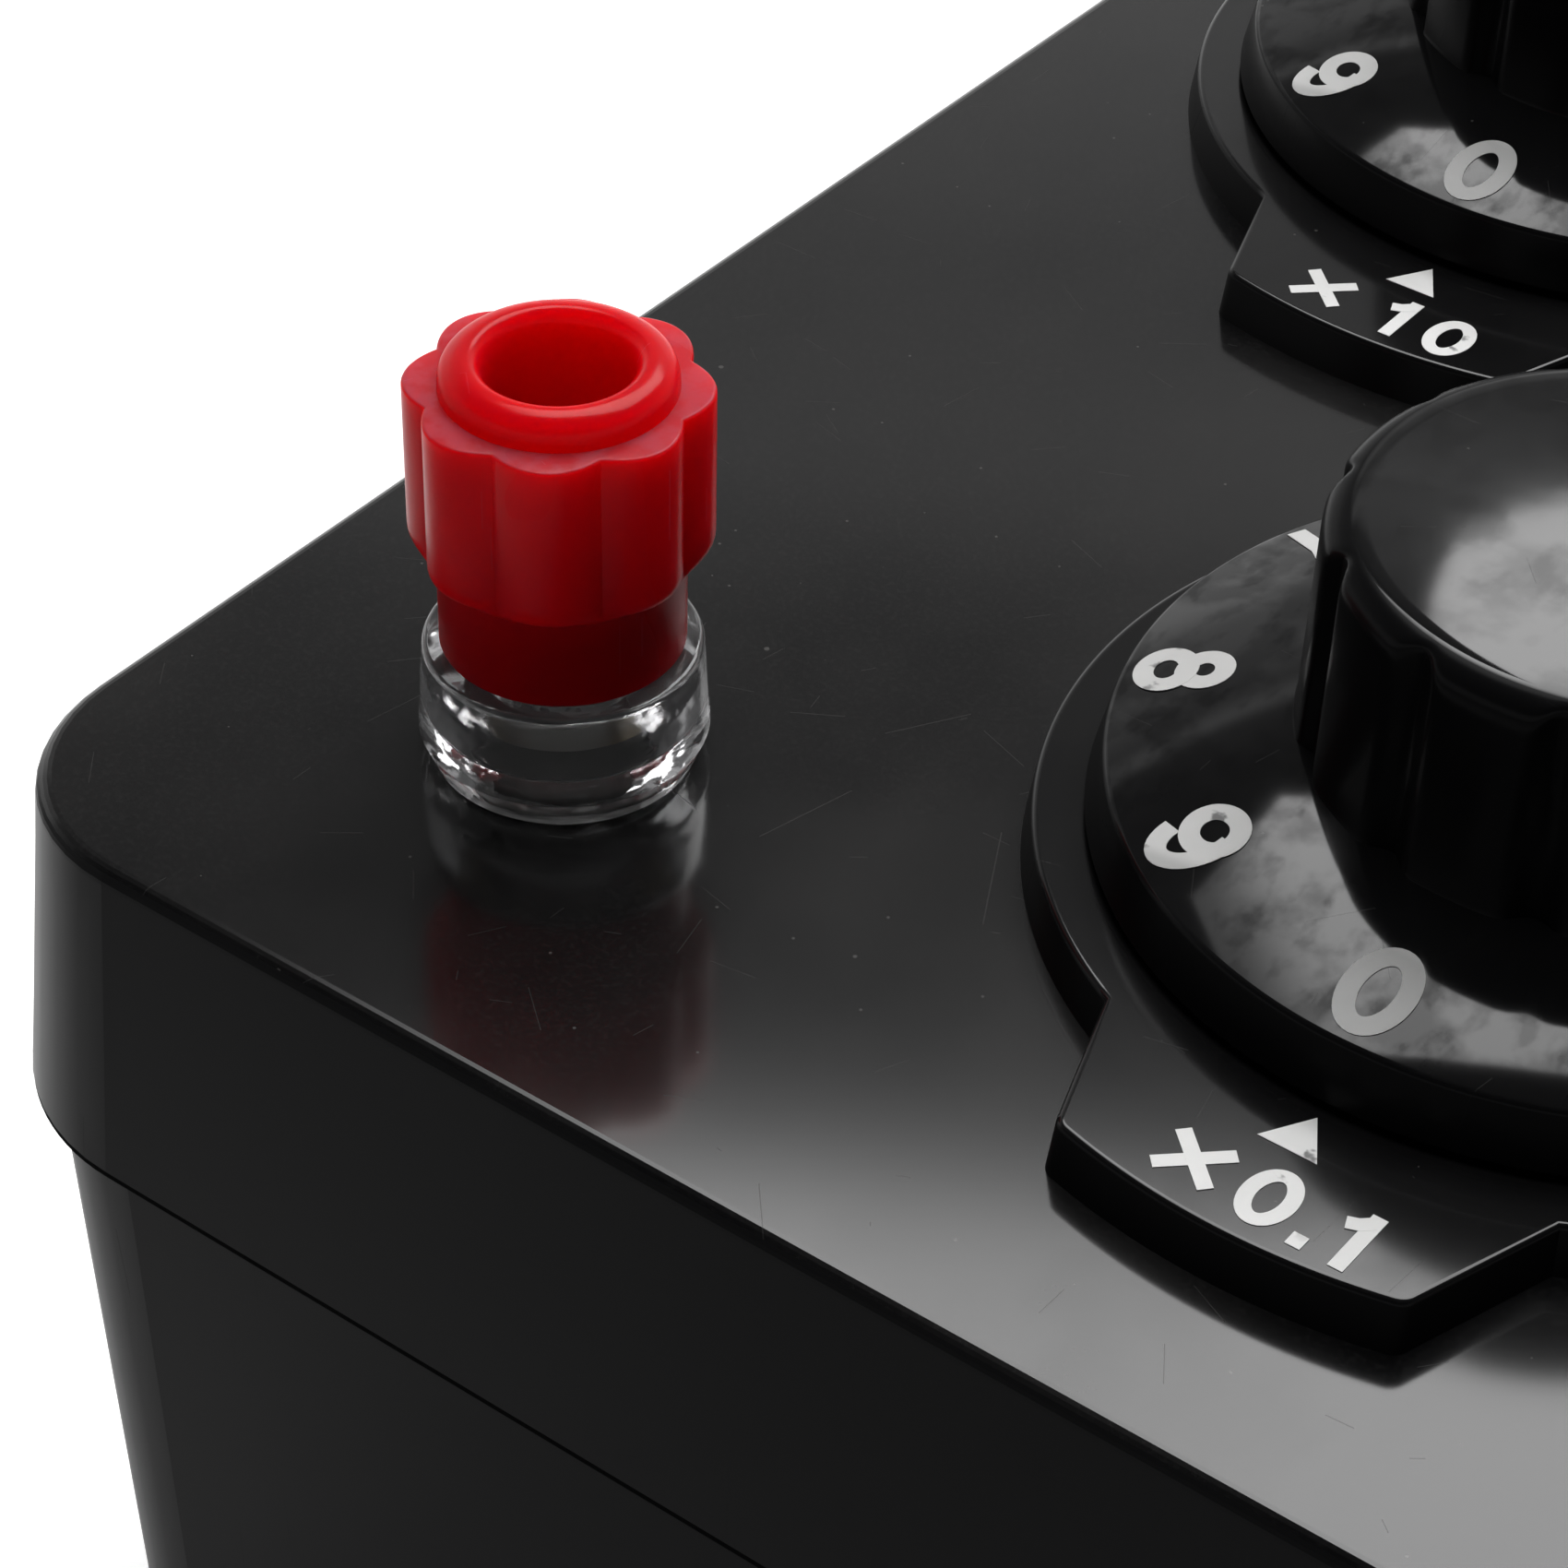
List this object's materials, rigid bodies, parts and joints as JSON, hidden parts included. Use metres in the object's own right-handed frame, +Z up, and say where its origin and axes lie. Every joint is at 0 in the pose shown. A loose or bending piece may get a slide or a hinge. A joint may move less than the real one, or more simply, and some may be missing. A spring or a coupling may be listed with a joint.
{
  "type": "decade resistance box",
  "caption": "Glossy black bench decade resistance box with numbered rotary dials, fluted knobs and red binding posts on clear collars, over a tapered base.",
  "frame": {"origin": "on the table, under the middle of the case", "axes": "+X along the front edge to the right, +Y to the back, +Z up"},
  "size_m": [0.1624, 0.119, 0.0721],
  "materials": {
    "lid_plastic": "glossy black moulding with fine scratches and dust",
    "base_plastic": "glossy black moulding",
    "index_plastic": "glossy black with white printing",
    "dial_plastic": "glossy black with white numbers",
    "knob_plastic": "glossy black fluted",
    "cap_plastic": "glossy red fluted",
    "clear_plastic": "clear, polished",
    "plated_brass": "nickel plated",
    "brass": "turned",
    "bronze": "rolled spring bronze",
    "steel": "zinc plated",
    "fibre": "vulcanised fibre",
    "phenolic": "paper board",
    "nylon": "moulded",
    "resistor": "lacquered",
    "wire": "insulated flexible wire",
    "rubber": "matt"
  },
  "bodies": {
    "case": {"lid": "lid_plastic", "base": "base_plastic", "case_screws": "steel", "feet": "rubber", "post_washers": "fibre", "post_nuts": "plated_brass", "post_tags": "plated_brass", "bushings": "brass", "bushing_nuts": "steel", "switch_frames": "steel", "pillars": "brass", "wafers": "phenolic", "contacts": "brass", "collectors": "bronze", "link_wires": "wire", "collar_left": "clear_plastic", "post_left": "plated_brass", "collar_right": "clear_plastic", "post_right": "plated_brass", "index_tenths": "index_plastic", "resistors_tenths": "resistor", "index_units": "index_plastic", "resistors_units": "resistor", "index_tens": "index_plastic", "resistors_tens": "resistor", "index_hundreds": "index_plastic", "resistors_hundreds": "resistor", "index_thousands": "index_plastic", "resistors_thousands": "resistor"},
    "tenths_dial": {"dial_tenths": "dial_plastic", "knob_tenths": "knob_plastic", "shaft_tenths": "nylon", "wiper_tenths": "bronze"},
    "units_dial": {"dial_units": "dial_plastic", "knob_units": "knob_plastic", "shaft_units": "nylon", "wiper_units": "bronze"},
    "tens_dial": {"dial_tens": "dial_plastic", "knob_tens": "knob_plastic", "shaft_tens": "nylon", "wiper_tens": "bronze"},
    "hundreds_dial": {"dial_hundreds": "dial_plastic", "knob_hundreds": "knob_plastic", "shaft_hundreds": "nylon", "wiper_hundreds": "bronze"},
    "thousands_dial": {"dial_thousands": "dial_plastic", "knob_thousands": "knob_plastic", "shaft_thousands": "nylon", "wiper_thousands": "bronze"},
    "left_thread": {"insert_left": "brass"},
    "left_cap": {"cap_left": "cap_plastic"},
    "right_thread": {"insert_right": "brass"},
    "right_cap": {"cap_right": "cap_plastic"}
  },
  "joints": [
    {"name": "tenths_turn", "type": "hinge", "parent": "case", "child": "tenths_dial", "pos_m": [-0.0257, -0.02265, 0.0536], "axis": [0, 0, -1], "range_deg": [0, 324]},
    {"name": "units_turn", "type": "hinge", "parent": "case", "child": "units_dial", "pos_m": [0.0257, -0.02265, 0.0536], "axis": [0, 0, -1], "range_deg": [0, 324]},
    {"name": "tens_turn", "type": "hinge", "parent": "case", "child": "tens_dial", "pos_m": [-0.0514, 0.02875, 0.0536], "axis": [0, 0, -1], "range_deg": [0, 324]},
    {"name": "hundreds_turn", "type": "hinge", "parent": "case", "child": "hundreds_dial", "pos_m": [0, 0.02875, 0.0536], "axis": [0, 0, -1], "range_deg": [0, 324]},
    {"name": "thousands_turn", "type": "hinge", "parent": "case", "child": "thousands_dial", "pos_m": [0.0514, 0.02875, 0.0536], "axis": [0, 0, -1], "range_deg": [0, 324]},
    {"name": "left_lift", "type": "slide", "parent": "case", "child": "left_thread", "axis": [0, 0, 1], "range_m": [0, 0.0035]},
    {"name": "left_unscrew", "type": "hinge", "parent": "left_thread", "child": "left_cap", "pos_m": [-0.0623, -0.04065, 0.0536], "axis": [0, 0, 1], "range_deg": [0, 1261]},
    {"name": "right_lift", "type": "slide", "parent": "case", "child": "right_thread", "axis": [0, 0, 1], "range_m": [0, 0.0035]},
    {"name": "right_unscrew", "type": "hinge", "parent": "right_thread", "child": "right_cap", "pos_m": [0.0623, -0.04065, 0.0536], "axis": [0, 0, 1], "range_deg": [0, 1261]}
  ],
  "couplings": [
    {"joint": "left_unscrew", "follows": "left_lift", "rad_per_m": 6283.2},
    {"joint": "right_unscrew", "follows": "right_lift", "rad_per_m": 6283.2}
  ]
}
